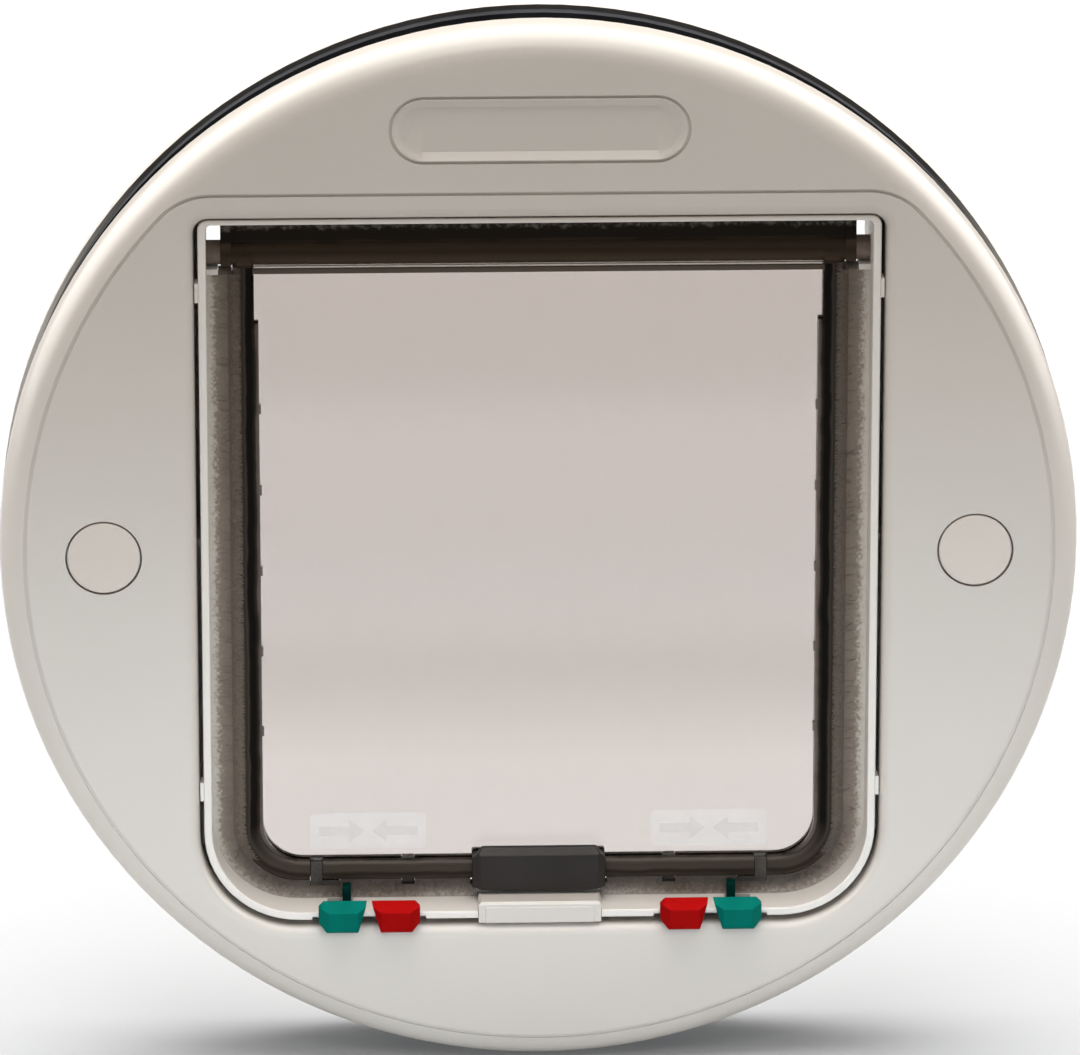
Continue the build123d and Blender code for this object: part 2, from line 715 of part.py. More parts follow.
# Pile strips: from under the hinge shelf down the side, round the corner and along the sill
brush_top = shelf_top - shelf_thick - brush_top_gap
for side, side_name in sides:
    with BuildPart() as brush:
        with BuildSketch(facing(y_flap + brush_width / 2)):
            tunnel_port(tunnel_wall + brush_seat_gap, tunnel_top_wall)
            flap_port(brush_gap, tunnel_top, mode=Mode.SUBTRACT)
        extrude(amount=brush_width)
        block((-tunnel_half, tunnel_half), (y_face, y_back), (brush_top, tunnel_top), mode=Mode.SUBTRACT)
        block((-side * tunnel_half, side * (holder_half + brush_middle_gap)), (y_face, y_back),
              (tunnel_bottom, tunnel_top), mode=Mode.SUBTRACT)
        for lug in (green_lug, red_lug):
            block((side * (lug[0] - brush_notch_gap), side * (lug[1] + brush_notch_gap)), (y_face, y_back),
                  (catch_bottom - brush_notch_gap, flap_bottom), mode=Mode.SUBTRACT)
    save(brush, f"brush_{side_name}")
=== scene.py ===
import json
import math
import random

import bmesh
import bpy
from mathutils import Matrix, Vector


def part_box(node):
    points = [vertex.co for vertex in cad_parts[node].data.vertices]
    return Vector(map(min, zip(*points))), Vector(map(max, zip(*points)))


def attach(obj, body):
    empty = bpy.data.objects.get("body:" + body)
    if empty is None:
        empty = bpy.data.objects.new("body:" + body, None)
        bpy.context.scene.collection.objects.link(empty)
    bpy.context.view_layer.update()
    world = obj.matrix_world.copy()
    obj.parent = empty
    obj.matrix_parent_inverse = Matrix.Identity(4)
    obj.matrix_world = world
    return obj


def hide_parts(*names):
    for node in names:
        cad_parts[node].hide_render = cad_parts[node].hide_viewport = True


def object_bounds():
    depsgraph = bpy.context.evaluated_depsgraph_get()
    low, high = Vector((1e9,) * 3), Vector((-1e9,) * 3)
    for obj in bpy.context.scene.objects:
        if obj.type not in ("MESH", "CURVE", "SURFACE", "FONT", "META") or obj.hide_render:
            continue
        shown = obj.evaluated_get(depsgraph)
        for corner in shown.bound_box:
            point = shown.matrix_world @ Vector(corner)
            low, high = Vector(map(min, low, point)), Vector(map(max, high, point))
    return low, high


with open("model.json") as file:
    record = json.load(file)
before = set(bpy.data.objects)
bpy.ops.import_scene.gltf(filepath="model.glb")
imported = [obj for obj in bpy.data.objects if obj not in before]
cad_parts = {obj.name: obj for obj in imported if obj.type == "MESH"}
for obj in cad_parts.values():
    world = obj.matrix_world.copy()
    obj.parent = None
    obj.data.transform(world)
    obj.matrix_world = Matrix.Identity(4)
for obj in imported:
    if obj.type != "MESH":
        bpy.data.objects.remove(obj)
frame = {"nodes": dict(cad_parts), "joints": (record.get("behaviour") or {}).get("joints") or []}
cad_box = [list(corner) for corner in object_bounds()]
nodes_of = frame["nodes"]

MM = 0.001
SIDES = ((-1, "left"), (1, "right"))
LOW, HIGH = 0, 1


def edge(node, end, axis):
    """Where a CAD node starts or ends along an axis at rest, in metres."""
    return round(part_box(node)[end]["xyz".index(axis)], 6)


# Clearances and sizes that the boxes of the nodes don't give, in metres
BRUSH_SEAT_GAP = 0.1 * MM
FLAP_SIDE_GAP = 6.7 * MM
RAIL_END_GAP = 3.7 * MM
HOLDER_GAP = 0.5 * MM
COVER_GAP = 0.2 * MM
LUG_SIDE_GAP = 0.15 * MM
LUG_FOOT_GAP = 0.1 * MM
FLAP_CORNER = 15.7 * MM
PANEL_HALF_THICK = 1.1 * MM
RIM_FOOT = 5.6 * MM
RIM_SIDE = 5.2 * MM
TUBE_RADIUS = 3.4 * MM
RIB_DROP = 5.4 * MM
SEAT_RADIUS = 137.0 * MM

# Places on the part, worked out from the frame
hinge = next(joint for joint in frame["joints"] if joint["name"] == "flap_swing")
FLAP_Y, HINGE_Z = hinge["pos_m"][1:]
FLAP_BOTTOM = edge("flap", LOW, "z")
RIM_FLOOR_Z = FLAP_BOTTOM + RIM_FOOT
FIN_TOP = edge("flap", HIGH, "z")
WALL_X = edge("brush_right", HIGH, "x") + BRUSH_SEAT_GAP
SILL_Z = edge("brush_right", LOW, "z") - BRUSH_SEAT_GAP
WALL_CORNER = FLAP_CORNER + FLAP_SIDE_GAP
FLAP_HALF = WALL_X - FLAP_SIDE_GAP
RAIL_HALF = WALL_X - RAIL_END_GAP
LIP_Y = edge("rear_frame", LOW, "y")
SEAT_Y = edge("rear_gasket", HIGH, "y")
BRUSH_TOP = edge("brush_right", HIGH, "z")
BRUSH_HALF_WIDE = (edge("brush_right", HIGH, "y") - edge("brush_right", LOW, "y")) / 2
PILE_END_X = edge("sill_magnet_cover", HIGH, "x") + COVER_GAP
HOLDER_EDGE_X = edge("flap_magnet_holder", HIGH, "x") + HOLDER_GAP
LUG_SPANS = tuple((edge(f"{colour}_catch_right", LOW, "x") - LUG_SIDE_GAP,
                   edge(f"{colour}_catch_right", HIGH, "x") + LUG_SIDE_GAP)
                  for colour in ("red", "green"))
LUG_REACH = edge("red_catch_right", LOW, "z") - SILL_Z - LUG_FOOT_GAP

# Camera, found by fitting the frame's circle and opening to the photograph
CAMERA_AT = (-68.6 * MM, -2208.3 * MM, 693.8 * MM)
CAMERA_AIM = (0.02984, 0.95386, -0.29877)
CAMERA_LENS = 295.94
CAMERA_SENSOR = 36.0
CAMERA_FAR = 100.0


# Materials: a builder for their nodes, and what the mouldings share

NOISE_LOW, NOISE_HIGH = 0.3, 0.7


class Look:
    """A material being made: one Principled shader, and the nodes that feed it."""

    def __init__(self, name):
        self.material = bpy.data.materials.new(name)
        self.material.use_nodes = True
        self.tree = self.material.node_tree
        self.tree.nodes.clear()
        self.shader = self.node("ShaderNodeBsdfPrincipled")
        output = self.node("ShaderNodeOutputMaterial")
        self.feed(output.inputs["Surface"], self.shader.outputs["BSDF"])
        self.place = self.node("ShaderNodeTexCoord").outputs["Object"]

    def node(self, kind, **settings):
        """Adds a node, with its settings."""
        made = self.tree.nodes.new(kind)
        for key, value in settings.items():
            setattr(made, key, value)
        return made

    def feed(self, socket, value):
        """Gives an input another node's output, or a plain value."""
        if isinstance(value, bpy.types.NodeSocket):
            self.tree.links.new(value, socket)
        else:
            socket.default_value = value

    def set(self, **inputs):
        """Feeds the shader's inputs, with _ for the spaces in their names."""
        for key, value in inputs.items():
            self.feed(self.shader.inputs[key.replace("_", " ")], value)

    def base(self):
        """The socket that colours the shader so far."""
        return self.shader.inputs["Base Color"].links[0].from_socket

    def split(self, vector):
        """The X, Y and Z of a vector."""
        node = self.node("ShaderNodeSeparateXYZ")
        self.feed(node.inputs["Vector"], vector)
        return [node.outputs[axis] for axis in "XYZ"]

    def axes(self):
        """The X, Y and Z of the point on the part at rest, in metres."""
        return self.split(self.place)

    def math(self, operation, *values):
        """A sum, product or other operation on numbers and sockets."""
        node = self.node("ShaderNodeMath", operation=operation)
        for socket, value in zip(node.inputs, values):
            self.feed(socket, value)
        return node.outputs["Value"]

    def size_of(self, value):
        """A value without its sign."""
        return self.math("ABSOLUTE", value)

    def above(self, value, limit):
        """1 where a value is above a limit."""
        return self.math("GREATER_THAN", value, limit)

    def below(self, value, limit):
        """1 where a value is below a limit."""
        return self.math("LESS_THAN", value, limit)

    def every(self, mask, *others):
        """1 where all the masks are 1."""
        for other in others:
            mask = self.math("MULTIPLY", mask, other)
        return mask

    def either(self, first, second):
        """1 where one of two masks is 1."""
        return self.math("MAXIMUM", first, second)

    def span(self, value, low, high, to_low=0.0, to_high=1.0):
        """Maps a value from one range to another, held at the ends."""
        step = self.node("ShaderNodeMapRange")
        ends = {"From Min": low, "From Max": high, "To Min": to_low, "To Max": to_high}
        for key, number in ends.items():
            self.feed(step.inputs[key], number)
        self.feed(step.inputs["Value"], value)
        return step.outputs["Result"]

    def noise(self, scale, detail=3.0):
        """A noise value over the part, per metre."""
        texture = self.node("ShaderNodeTexNoise")
        self.feed(texture.inputs["Scale"], scale)
        self.feed(texture.inputs["Detail"], detail)
        self.feed(texture.inputs["Vector"], self.place)
        return texture.outputs["Fac"]

    def vary(self, scale, low, high, detail=3.0):
        """A value that drifts between two others over the part."""
        return self.span(self.noise(scale, detail), NOISE_LOW, NOISE_HIGH, low, high)

    def ramp(self, value, stops):
        """Colours along a value, as (place, colour) stops."""
        node = self.node("ShaderNodeValToRGB")
        elements = node.color_ramp.elements
        for element, (spot, colour) in zip(elements, (stops[0], stops[-1])):
            element.position, element.color = spot, (*colour, 1)
        for spot, colour in stops[1:-1]:
            elements.new(spot).color = (*colour, 1)
        self.feed(node.inputs["Fac"], value)
        return node.outputs["Color"]

    def mottle(self, scale, dark, light):
        """A colour that drifts between two others over the part."""
        return self.ramp(self.noise(scale), [(NOISE_LOW, dark), (NOISE_HIGH, light)])

    def blend(self, factor, first, second):
        """The first colour, or the second one where the factor is 1."""
        mix = self.node("ShaderNodeMix", data_type="RGBA")
        self.feed(mix.inputs["Factor"], factor)
        self.feed(mix.inputs["A"], first)
        self.feed(mix.inputs["B"], second)
        return mix.outputs["Result"]

    def grain(self, scale, height):
        """A fine moulded grain, as bump of a real height."""
        self.bump = self.node("ShaderNodeBump")
        self.feed(self.bump.inputs["Distance"], height)
        self.feed(self.bump.inputs["Height"], self.noise(scale, detail=4.0))
        self.set(Normal=self.bump.outputs["Normal"])


def moulded(name, dark, light, patch, rough, grain, gloss=0.5, metallic=0.0):
    """A moulding: shade and gloss drift over the part, and a grain breaks the highlights."""
    look = Look(name)
    look.set(Base_Color=look.mottle(patch, dark, light), Roughness=look.vary(patch * 7, *rough),
             Specular_IOR_Level=gloss, Metallic=metallic)
    look.grain(*grain)
    return look


def inside_flap(look):
    """How far a point lies inside the flap's outline: straight sides, two round lower corners."""
    x, y, z = look.axes()
    across = look.math("SUBTRACT", look.size_of(x), FLAP_HALF - FLAP_CORNER)
    down = look.math("SUBTRACT", FLAP_BOTTOM + FLAP_CORNER, z)
    squares = [look.math("POWER", look.math("MAXIMUM", reach, 0.0), 2.0) for reach in (across, down)]
    return look.math("SUBTRACT", FLAP_CORNER, look.math("SQRT", look.math("ADD", *squares)))


# Off-white frames, caps and sill block, black foam, dark magnets and their holder, coloured locks

# Grains, as features per metre and their height
FINE_GRAIN = (1900.0, 0.02 * MM)

face_white = moulded("face_white", dark=(0.552, 0.497, 0.438), light=(0.577, 0.522, 0.463),
                     patch=9.0, rough=(0.3, 0.38), grain=FINE_GRAIN)
tunnel_white = moulded("tunnel_white", dark=(0.67, 0.614, 0.554), light=(0.7, 0.644, 0.584),
                       patch=9.0, rough=(0.4, 0.5), grain=FINE_GRAIN, gloss=0.4)
cap_white = moulded("cap_white", dark=(0.585, 0.515, 0.45), light=(0.615, 0.545, 0.48),
                    patch=12.0, rough=(0.42, 0.52), grain=FINE_GRAIN, gloss=0.4)
foam_black = moulded("foam_black", dark=(0.006, 0.006, 0.008), light=(0.018, 0.018, 0.021),
                     patch=60.0, rough=(0.6, 0.8), grain=(900.0, 0.12 * MM), gloss=0.2)
holder_dark = moulded("holder_dark", dark=(0.015, 0.0112, 0.0088), light=(0.02, 0.0154, 0.0123),
                      patch=40.0, rough=(0.36, 0.48), grain=(1500.0, 0.03 * MM), gloss=0.25)
ferrite = moulded("ferrite", dark=(0.03, 0.03, 0.032), light=(0.06, 0.06, 0.065),
                  patch=200.0, rough=(0.5, 0.7), grain=(2500.0, 0.05 * MM))
steel = moulded("steel", dark=(0.45, 0.45, 0.46), light=(0.6, 0.6, 0.62),
                patch=90.0, rough=(0.2, 0.35), grain=(2600.0, 0.02 * MM), metallic=1.0)
catch_smoke = moulded("catch_smoke", dark=(0.026, 0.02, 0.016), light=(0.042, 0.033, 0.027),
                      patch=300.0, rough=(0.15, 0.3), grain=(1500.0, 0.03 * MM), gloss=0.3)
lock_green = moulded("lock_green", dark=(0.0, 0.155, 0.118), light=(0.0, 0.182, 0.14),
                     patch=90.0, rough=(0.36, 0.5), grain=(1700.0, 0.03 * MM), gloss=0.02)
lock_red = moulded("lock_red", dark=(0.375, 0.002, 0.002), light=(0.43, 0.003, 0.003),
                   patch=90.0, rough=(0.36, 0.5), grain=(1700.0, 0.03 * MM), gloss=0.02)


def round_edges(look, radius):
    """Shades the edges of a moulding as if they were rounded."""
    bevel = look.node("ShaderNodeBevel", samples=8)
    look.feed(bevel.inputs["Radius"], radius)
    look.feed(look.bump.inputs["Normal"], bevel.outputs["Normal"])


def shade_upright_faces(look, share):
    """Paints shade on the upright faces of a moulding, so that its tops look paler, as if lit from
    above.
    """
    base = look.base()
    x, y, z = look.split(look.node("ShaderNodeNewGeometry").outputs["Normal"])
    deep = look.node("ShaderNodeVectorMath", operation="SCALE")
    look.feed(deep.inputs["Scale"], share)
    look.feed(deep.inputs["Vector"], base)
    upright = look.span(z, 0.9, 0.2)
    look.set(Base_Color=look.blend(upright, base, deep.outputs["Vector"]))


def shade_behind(look, depth, colour):
    """Paints shade on a moulding behind a depth, where it stands in the shadow of the flap."""
    x, y, z = look.axes()
    # Painted shade: behind this depth the moulding takes a darker colour
    behind = look.span(y, depth, depth + 1.0 * MM)
    deep = look.mottle(500.0, colour, tuple(1.4 * part for part in colour))
    look.set(Base_Color=look.blend(behind, look.base(), deep))


def dark_seat(look):
    """Darkens the narrow ledge beside the rear gasket near the top, in the shade of the slot."""
    x, y, z = look.axes()
    squares = [look.math("POWER", reach, 2.0) for reach in (x, z)]
    outside = look.above(look.math("ADD", *squares), SEAT_RADIUS ** 2)
    near_gasket = look.span(y, SEAT_Y + 0.7 * MM, SEAT_Y + 0.1 * MM)
    near_top = look.span(z, 55.0 * MM, 95.0 * MM)
    deep = look.mottle(300.0, (0.05, 0.047, 0.043), (0.07, 0.066, 0.061))
    ledge = look.every(outside, near_gasket, near_top)
    look.set(Base_Color=look.blend(ledge, look.base(), deep))


LOCK_EDGE_ROUND = 0.7 * MM
LOCK_UPRIGHT_SHADE_SHARE = 0.68
LOCK_POST_Y = LIP_Y + 2.4 * MM
# Painted shade on the locks: upright faces darker than their tops, and posts darker where they stand
# under the flap
for look, shade in ((lock_green, (0.0, 0.02, 0.016)), (lock_red, (0.05, 0.0, 0.0))):
    round_edges(look, LOCK_EDGE_ROUND)
    shade_upright_faces(look, LOCK_UPRIGHT_SHADE_SHARE)
    shade_behind(look, LOCK_POST_Y, shade)
dark_seat(tunnel_white)


# Flap, with how far past a face its own shade still reaches

PANEL_SLACK = 0.05 * MM
RIB_SLACK = 0.1 * MM
BAR_SLACK = 0.15 * MM
RIM_SLACK = 0.3 * MM
RIM_SHADED = 7.0 * MM
LINT_FOOT, LINT_FULL = 2.4 * MM, 1.4 * MM


def panel_mask(look, on_rib, within_rim):
    """1 on the panel and the back of its top rib, which are thin enough to see through."""
    x, y, z = look.axes()
    off_panel = look.size_of(look.math("SUBTRACT", y, FLAP_Y))
    thin = look.below(off_panel, PANEL_HALF_THICK + PANEL_SLACK)
    behind = look.above(y, FLAP_Y + PANEL_HALF_THICK)
    thin = look.either(thin, look.every(behind, on_rib))
    under_bar = look.below(z, HINGE_Z - TUBE_RADIUS + BAR_SLACK)
    over_rim = look.above(z, RIM_FLOOR_Z - RIM_SLACK)
    return look.every(thin, under_bar, over_rim, within_rim)


def panel_tint(look):
    """The panel's tint, from its foot to the rib under the bar; paler low down and darker higher up, as
    painted light for the brightness seen through the panel.
    """
    x, y, z = look.axes()
    # Painted light: the tint's change with height stands in for the light seen through the panel
    return look.ramp(look.span(z, RIM_FLOOR_Z, HINGE_Z), [
        (0.0, (0.7, 0.65, 0.62)), (0.16, (0.68, 0.63, 0.595)), (0.33, (0.51, 0.46, 0.425)),
        (0.55, (0.48, 0.422, 0.392)), (0.966, (0.495, 0.432, 0.4)), (0.97, (0.34, 0.29, 0.255))])


def rim_colour(look):
    """The rim, from its outer flank to the thin inner edge; its brown-black is the smoky plastic, while
    the paler flank and inner edge are painted light through thin plastic, with a painted highlight line
    on the flank.
    """
    x, y, z = look.axes()
    wander = look.vary(120.0, -0.25 * MM, 0.25 * MM)
    streak = look.span(look.math("ADD", inside_flap(look), wander), 0.0, RIM_SHADED)
    # Painted light: paler flank and inner edge for light through the thin plastic, and a bright band on
    # the flank as a painted highlight
    sides = look.ramp(streak, [
        (0.0, (0.13, 0.1, 0.08)), (0.3, (0.035, 0.027, 0.02)), (0.36, (0.026, 0.02, 0.015)),
        (0.41, (0.045, 0.035, 0.027)), (0.5, (0.005, 0.0036, 0.0026)), (0.68, (0.004, 0.003, 0.002)),
        (0.8, (0.022, 0.016, 0.012)), (0.87, (0.1, 0.08, 0.065)), (1.0, (0.16, 0.13, 0.11))])
    # Along the foot the brighter bands are painted highlights
    foot = look.ramp(streak, [
        (0.0, (0.05, 0.036, 0.027)), (0.3, (0.018, 0.013, 0.009)), (0.42, (0.045, 0.034, 0.026)),
        (0.6, (0.04, 0.03, 0.023)), (0.76, (0.07, 0.055, 0.043)), (0.82, (0.02, 0.015, 0.011)),
        (1.0, (0.06, 0.046, 0.036))])
    return look.blend(look.span(z, FLAP_BOTTOM + FLAP_CORNER, RIM_FLOOR_Z), sides, foot)


def bar_colour(look):
    """The bar, from the rib under the tube to the lint on its fin, with its paler stubs; the tube's
    bright bands are painted highlights, and the line under it and the dark fin are painted shade.
    """
    x, y, z = look.axes()
    level = look.math("ADD", z, look.vary(90.0, -0.2 * MM, 0.2 * MM))
    # Painted light along the bar: bright bands on the tube as highlights, and a dark line under it and a
    # dark fin as shade
    bar = look.ramp(look.span(level, HINGE_Z - RIB_DROP, FIN_TOP), [
        (0.0, (0.1, 0.076, 0.058)), (0.1, (0.08, 0.061, 0.047)), (0.16, (0.02, 0.013, 0.008)),
        (0.22, (0.05, 0.034, 0.022)), (0.4, (0.032, 0.021, 0.013)), (0.58, (0.05, 0.034, 0.022)),
        (0.64, (0.012, 0.008, 0.005)), (1.0, (0.01, 0.0065, 0.004))])
    fuzz = look.math("ADD", z, look.vary(500.0, -0.8 * MM, 0.8 * MM, detail=4.0))
    lint = look.ramp(look.noise(700.0, detail=4.0), [
        (0.4, (0.02, 0.016, 0.012)), (0.62, (0.1, 0.086, 0.072))])
    bar = look.blend(look.span(fuzz, FIN_TOP - LINT_FOOT, FIN_TOP - LINT_FULL), bar, lint)
    on_stub = look.above(look.size_of(x), RAIL_HALF + PANEL_SLACK)
    return look.blend(on_stub, bar, look.mottle(400.0, (0.16, 0.12, 0.095), (0.22, 0.17, 0.135)))


def smoky_flap():
    """One moulding: a nearly clear panel, and a rim and bar so thick that they look brown-black, with
    painted highlights and shade in their colours.
    """
    look = Look("smoky_flap")
    x, y, z = look.axes()
    on_rib = look.above(z, HINGE_Z - RIB_DROP - RIB_SLACK)
    on_tube = look.above(z, HINGE_Z - TUBE_RADIUS)
    within_rim = look.below(look.size_of(x), FLAP_HALF - RIM_SIDE)
    on_bar = look.either(look.every(on_rib, within_rim), on_tube)
    smoke = look.blend(on_bar, rim_colour(look), bar_colour(look))
    clear = panel_mask(look, on_rib, within_rim)
    look.set(Base_Color=look.blend(clear, smoke, panel_tint(look)), Transmission_Weight=clear,
             Roughness=look.vary(300.0, 0.06, 0.12), IOR=1.45, Specular_IOR_Level=0.05)
    return look


# Dressing of the CAD nodes

WELD_GAP = 2e-6
SHARP_EDGE = math.radians(28.0)
BLOCK_EDGE = math.radians(20.0)
FLAT_FACE = math.radians(1.0)
ROUND_STEPS = 3


def dress(node, look):
    """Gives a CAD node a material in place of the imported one."""
    mesh = nodes_of[node].data
    mesh.materials.clear()
    mesh.materials.append(look.material)


def shade_smooth(node):
    """Welds a CAD node's seams and shades it smooth by its own faces."""
    obj = nodes_of[node]
    if "custom_normal" in obj.data.attributes:
        obj.data.attributes.remove(obj.data.attributes["custom_normal"])
    obj.data.shade_smooth()
    obj.modifiers.new("weld", "WELD").merge_threshold = WELD_GAP
    return obj


def smooth(node):
    """Smooth shading that keeps the sharp edges."""
    split = shade_smooth(node).modifiers.new("split", "EDGE_SPLIT")
    split.use_edge_sharp = False
    split.split_angle = SHARP_EDGE


def soften(node, width):
    """Small rounds on the edges of a plain moulded block."""
    obj = shade_smooth(node)
    flat = obj.modifiers.new("flat", "DECIMATE")
    flat.decimate_type = "DISSOLVE"
    flat.angle_limit = FLAT_FACE
    bevel = obj.modifiers.new("bevel", "BEVEL")
    bevel.width = width
    bevel.segments = ROUND_STEPS
    bevel.limit_method = "ANGLE"
    bevel.angle_limit = BLOCK_EDGE
    bevel.harden_normals = True


round_shapes = [("front_frame", face_white), ("rear_frame", tunnel_white), ("flap", smoky_flap()),
                ("front_gasket", foam_black), ("rear_gasket", foam_black)]
blocks = [("flap_magnet_holder", holder_dark, 0.35 * MM), ("sill_magnet_cover", face_white, 0.25 * MM)]
for side, side_name in SIDES:
    round_shapes += [(f"screw_cap_{side_name}", cap_white), (f"clamp_screw_{side_name}", steel)]
    blocks.append((f"lock_retainer_{side_name}", tunnel_white, 0.2 * MM))
    for colour, look in (("green", lock_green), ("red", lock_red)):
        blocks.append((f"{colour}_lock_{side_name}", look, 0.45 * MM))
        blocks.append((f"{colour}_catch_{side_name}", catch_smoke, 0.2 * MM))
for node, look in round_shapes:
    dress(node, look)
    smooth(node)
for node, look, edge_round in blocks:
    dress(node, look)
    soften(node, edge_round)
for node in ("flap_magnet", "sill_magnet"):
    dress(node, ferrite)


# Raised pads low on the flap, with plain arrows that point at each other

PAD_X, PAD_Z = 44.85 * MM, -80.2 * MM
PAD_HALF, PAD_HALF_HIGH = 15.3 * MM, 5.0 * MM
PAD_CORNER = 1.2 * MM
PAD_RISE = 0.15 * MM
ARROW_RISE = 0.1 * MM
ARROW_GAP = 1.0 * MM
ARROW_HEAD, ARROW_TAIL = 4.0 * MM, 8.0 * MM
ARROW_HALF_HIGH, ARROW_HALF_STEM = 3.2 * MM, 1.3 * MM


def faint(name, dark, light, cover):
    """A clear relief: it only catches a little of the light."""
    look = Look(name)
    look.set(Base_Color=look.mottle(250.0, dark, light), Roughness=look.vary(900.0, 0.3, 0.45),
             Alpha=cover)
    return look


def sheet_piece(name, outline, depth_front, depth_back, look, body):
    """A flat raised shape: an outline in X and Z, between two depths in Y."""
    mesh = bpy.data.meshes.new(name)
    work = bmesh.new()
    face = work.faces.new([work.verts.new((x, depth_back, z)) for x, z in outline])
    grown = bmesh.ops.extrude_face_region(work, geom=[face])
    raised = [part for part in grown["geom"] if isinstance(part, bmesh.types.BMVert)]
    bmesh.ops.translate(work, verts=raised, vec=(0, depth_front - depth_back, 0))
    bmesh.ops.recalc_face_normals(work, faces=work.faces)
    work.to_mesh(mesh)
    work.free()
    mesh.materials.append(look.material)
    obj = bpy.data.objects.new(name, mesh)
    bpy.context.scene.collection.objects.link(obj)
    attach(obj, body)
    return obj


def pad_outline(middle, turns=6):
    """Points of a pad, with round corners."""
    half, half_high = PAD_HALF - PAD_CORNER, PAD_HALF_HIGH - PAD_CORNER
    points = []
    for quarter, (way_x, way_z) in enumerate(((1, 1), (-1, 1), (-1, -1), (1, -1))):
        for turn in range(turns + 1):
            angle = math.pi / 2 * (quarter + turn / turns)
            points.append((middle + way_x * half + PAD_CORNER * math.cos(angle),
                           PAD_Z + way_z * half_high + PAD_CORNER * math.sin(angle)))
    return points


def arrow_outline(middle, way):
    """Points of an arrow beside the middle of a pad, with its tip at the middle."""
    tip = middle + way * ARROW_GAP
    back = tip + way * ARROW_HEAD
    tail = back + way * ARROW_TAIL
    return [(tip, PAD_Z), (back, PAD_Z + ARROW_HALF_HIGH), (back, PAD_Z + ARROW_HALF_STEM),
            (tail, PAD_Z + ARROW_HALF_STEM), (tail, PAD_Z - ARROW_HALF_STEM),
            (back, PAD_Z - ARROW_HALF_STEM), (back, PAD_Z - ARROW_HALF_HIGH)]


pad_clear = faint("pad_clear", (0.86, 0.84, 0.82), (0.94, 0.92, 0.9), 0.1)
arrow_grey = faint("arrow_grey", (0.5, 0.47, 0.44), (0.58, 0.55, 0.52), 0.13)
panel_front = FLAP_Y - PANEL_HALF_THICK
pad_front = panel_front - PAD_RISE
arrow_front = pad_front - ARROW_RISE
for side, side_name in SIDES:
    sheet_piece(f"pad_{side_name}", pad_outline(side * PAD_X), pad_front, panel_front,
                pad_clear, "swinging_flap")
    for way, way_name in ((-1, "inward"), (1, "outward")):
        sheet_piece(f"arrow_{side_name}_{way_name}", arrow_outline(side * PAD_X, way),
                    arrow_front, pad_front, arrow_grey, "swinging_flap")


# Pile strips on the tunnel's walls and sill, in place of the plain bars

PILE_SEED = 71
PILE_FIBRES = 13000
CROWN_FIBRES = 700
PILE_PITCH = 1.0 * MM
PILE_CEILING = HINGE_Z - TUBE_RADIUS - 0.3 * MM
CORE_LIP = 0.05 * MM
CORE_SHY = 0.06 * MM
FIBRE_SIDES = 3
FIBRE_TAPER = (1.0, 0.9, 0.35)
FIBRE_THICK = (0.05, 0.1)
BENDS = ((0.0, 0.0), (0.55, 0.35), (1.0, 1.0))
LAPPING = 0.6
LAPPING_FOOT = FLAP_BOTTOM + 3.0 * MM
FLARE = 0.35 * MM
CROWN_ROOT = 0.4 * MM


def corner_reach(angle):
    """Length of the pile in the lower corner: from the tunnel's corner to the flap's corner."""
    drop = (SILL_Z + WALL_CORNER) - (FLAP_BOTTOM + FLAP_CORNER)
    if FLAP_CORNER * math.tan(angle) < drop:
        return WALL_CORNER - FLAP_CORNER / math.cos(angle)
    chord = math.sqrt(FLAP_CORNER ** 2 - (drop * math.cos(angle)) ** 2)
    return WALL_CORNER - drop * math.sin(angle) - chord


def steps(low, high, pitch=PILE_PITCH):
    """Even steps from one value to another, about a pitch apart."""
    count = max(1, round(abs(high - low) / pitch))
    return [low + (high - low) * step / count for step in range(count + 1)]


def pile_path(side):
    """Points on the tunnel's wall under the pile, the way to the flap there, and the pile's length.

    Over the sill the pile is cut lower where the flap's catches and its magnet block pass.
    """
    corner_x, corner_z = WALL_X - WALL_CORNER, SILL_Z + WALL_CORNER
    points = [(side * WALL_X, z, -side, 0.0, WALL_X - FLAP_HALF) for z in steps(BRUSH_TOP, corner_z)]
    for angle in steps(0.0, math.pi / 2, PILE_PITCH / WALL_CORNER)[1:-1]:
        out_x, out_z = math.cos(angle), -math.sin(angle)
        points.append((side * (corner_x + WALL_CORNER * out_x), corner_z + WALL_CORNER * out_z,
                       -side * out_x, -out_z, corner_reach(angle)))
    lug_edges = [lug_edge for lug in LUG_SPANS for lug_edge in lug]
    ends = sorted([PILE_END_X, HOLDER_EDGE_X, corner_x] + lug_edges, reverse=True)
    for index, (high, low) in enumerate(zip(ends, ends[1:])):
        reach = LUG_REACH if index % 2 else FLAP_BOTTOM - SILL_Z
        points += [(side * x, SILL_Z, 0.0, 1.0, reach) for x in steps(high, low)]
    return points


def kept_free(x, z):
    """Whether a point is where a catch or the magnet block of the flap hangs."""
    spans = (*LUG_SPANS, (0.0, HOLDER_EDGE_X))
    over_sill = SILL_Z + LUG_REACH < z < FLAP_BOTTOM
    return over_sill and any(low < abs(x) < high for low, high in spans)


def pile_core(path):
    """The dense middle of a strip, as points and faces: one closed skin along the path."""
    wide = BRUSH_HALF_WIDE
    verts, faces = [], []
    for index, (x, z, nx, nz, reach) in enumerate(path):
        near, lip = reach - CORE_SHY, reach + CORE_LIP
        section = [(0.0, -wide), (lip, -wide), (near, -PANEL_HALF_THICK), (near, PANEL_HALF_THICK),
                   (lip, wide), (0.0, wide)]
        count = len(section)
        verts += [(x + nx * along, FLAP_Y + across, z + nz * along) for along, across in section]
        if index:
            first = count * (index - 1)
            for here in range(count):
                after = (here + 1) % count
                faces.append((first + here, first + after, first + count + after, first + count + here))
    faces += [tuple(reversed(range(count))), tuple(range(len(verts) - count, len(verts)))]
    return verts, faces


